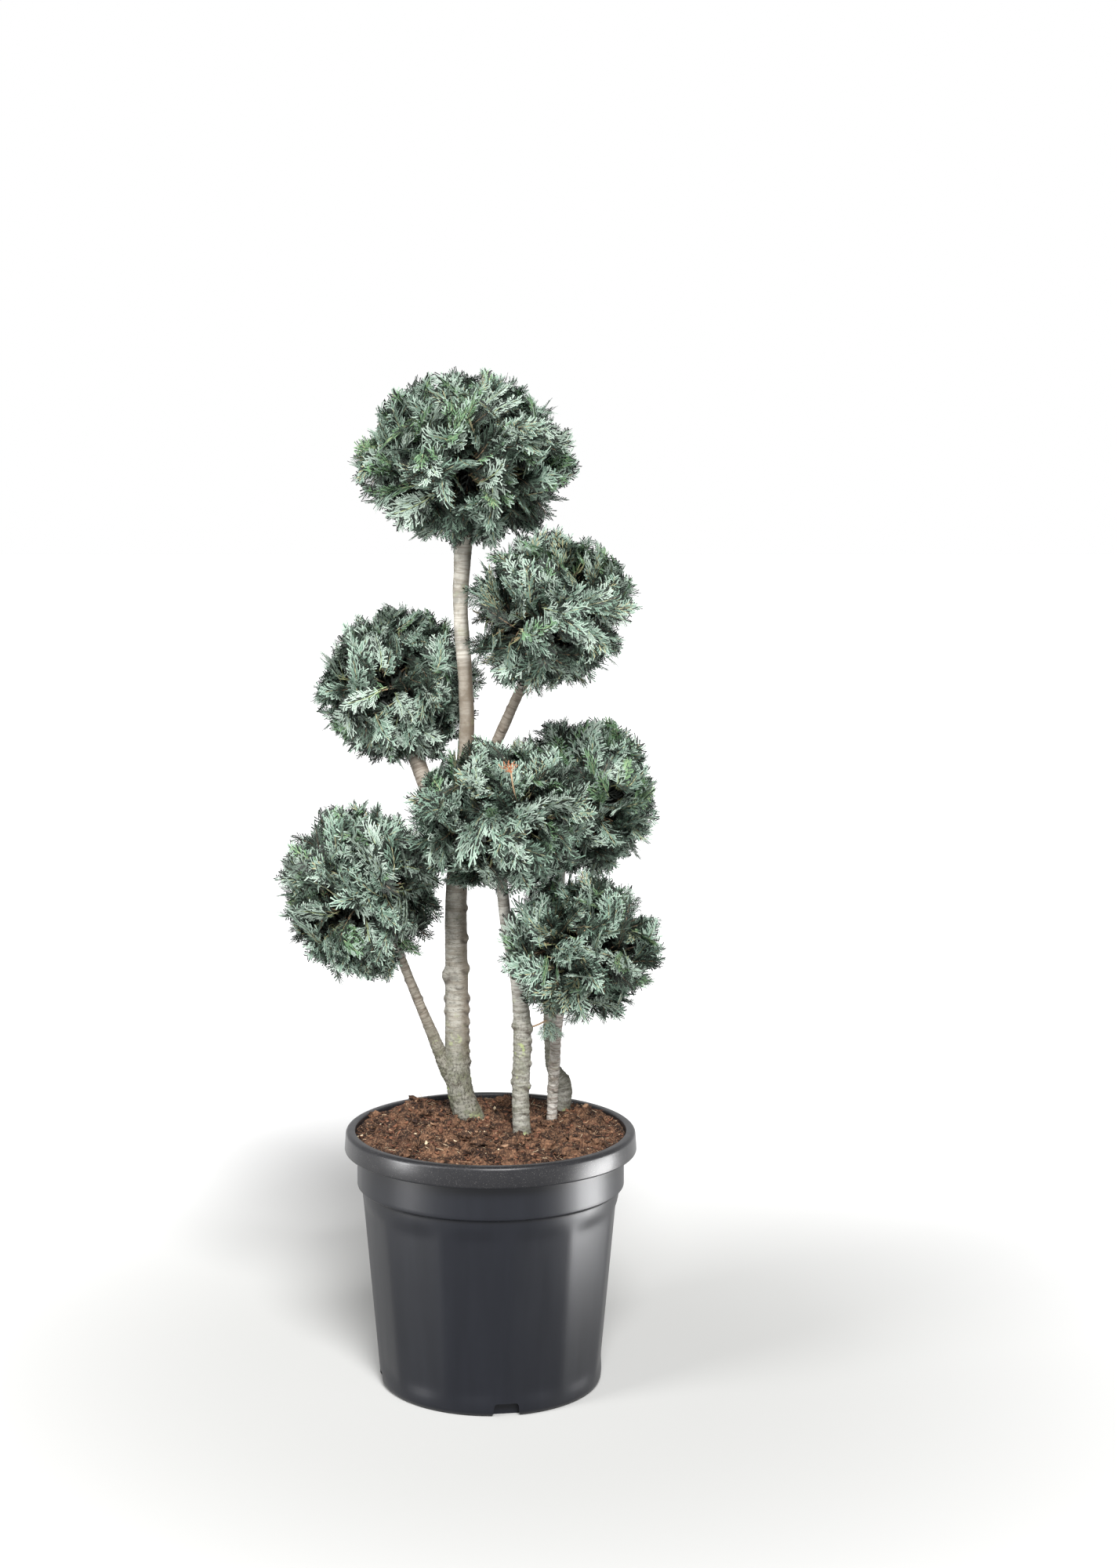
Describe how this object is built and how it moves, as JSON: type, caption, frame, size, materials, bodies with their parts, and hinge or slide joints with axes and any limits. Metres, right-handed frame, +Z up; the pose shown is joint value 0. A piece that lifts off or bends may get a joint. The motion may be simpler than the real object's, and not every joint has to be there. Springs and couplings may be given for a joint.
{
  "type": "potted lawson cypress multiball topiary",
  "caption": "Lawson cypress clipped into rounded foliage balls on bare stems and boughs, growing in a round fluted nursery pot filled with bark soil.",
  "frame": {"origin": "centre of the pot's flat underside", "axes": "+Z up along the pot's axis, +Y towards the back of the plant, +X to the right as seen from the front"},
  "size_m": [0.4786, 0.3998, 1.2275],
  "materials": {
    "pot_plastic": "satin",
    "soil": "matte",
    "bark": "matte",
    "foliage": "matte"
  },
  "bodies": {
    "root": {"pot": "pot_plastic", "soil": "soil", "trunk_main": "bark", "stem_middle": "bark", "stem_front_right": "bark", "stem_rear_right": "bark", "bough_lower_left": "bark", "bough_upper_left": "bark", "bough_upper_right": "bark", "ball_top": "foliage", "ball_upper_right": "foliage", "ball_upper_left": "foliage", "ball_centre": "foliage", "ball_rear_right": "foliage", "ball_lower_left": "foliage", "ball_lower_right": "foliage"}
  },
  "joints": []
}
